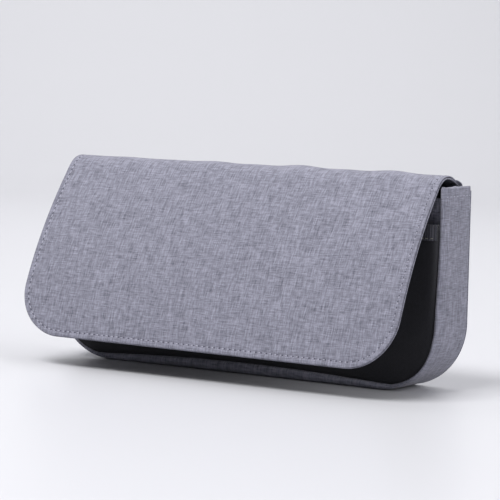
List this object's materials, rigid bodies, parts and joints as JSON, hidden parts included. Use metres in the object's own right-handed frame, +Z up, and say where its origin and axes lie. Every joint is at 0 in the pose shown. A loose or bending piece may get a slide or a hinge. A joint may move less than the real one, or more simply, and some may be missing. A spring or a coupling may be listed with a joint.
{
  "type": "cable organizer pouch",
  "caption": "Flat standing fabric pouch with a folding flap, a front pocket, a mesh pocket and elastic cable loops.",
  "frame": {"origin": "middle of the flat bottom that the pouch stands on, midway between the gusset's front edge and the back's face", "axes": "+X along the width, -Y towards the front that the flap falls over, +Z up"},
  "size_m": [0.25, 0.076, 0.1153],
  "materials": {
    "grey_cloth": "matte heather weave",
    "flap_lining": "matte heather weave",
    "black_knit": "matte fine knit",
    "black_tape": "ribbed grosgrain",
    "black_lining": "matte plain weave",
    "black_mesh": "open knitted mesh",
    "black_elastic": "ribbed elastic webbing",
    "hook_and_loop": "hook-and-loop pile",
    "foam": "soft foam, hidden",
    "stiffener": "thin plastic sheet, hidden"
  },
  "bodies": {
    "pouch": {"back_panel": "grey_cloth", "back_foam": "foam", "back_lining": "black_lining", "flap_root_tape": "black_tape", "gusset": "grey_cloth", "gusset_foam": "foam", "gusset_lining": "black_lining", "left_hem": "grey_cloth", "right_hem": "grey_cloth", "front_panel": "grey_cloth", "front_foam": "foam", "front_lining": "black_lining", "front_binding": "black_tape", "front_pocket": "black_knit", "pocket_binding": "black_tape", "loop_strip": "hook_and_loop", "mesh_pocket": "black_mesh", "mesh_binding": "black_elastic", "cable_loops": "black_elastic", "back_seam_tape": "black_tape", "front_seam_tape": "black_tape"},
    "flap_top": {"flap_top_cloth": "grey_cloth", "flap_top_board": "stiffener", "flap_top_lining": "flap_lining"},
    "flap_front": {"flap_front_cloth": "grey_cloth", "flap_front_board": "stiffener", "flap_front_lining": "flap_lining", "hook_strip": "hook_and_loop"}
  },
  "joints": [
    {"name": "flap_hinge", "type": "hinge", "parent": "pouch", "child": "flap_top", "pos_m": [0, 0.016, 0.1096], "axis": [-1, 0, 0], "range_deg": [0, 175]},
    {"name": "flap_fold", "type": "hinge", "parent": "flap_top", "child": "flap_front", "pos_m": [0, -0.01755, 0.10084], "axis": [-1, 0, 0], "range_deg": [-25, 35]}
  ]
}
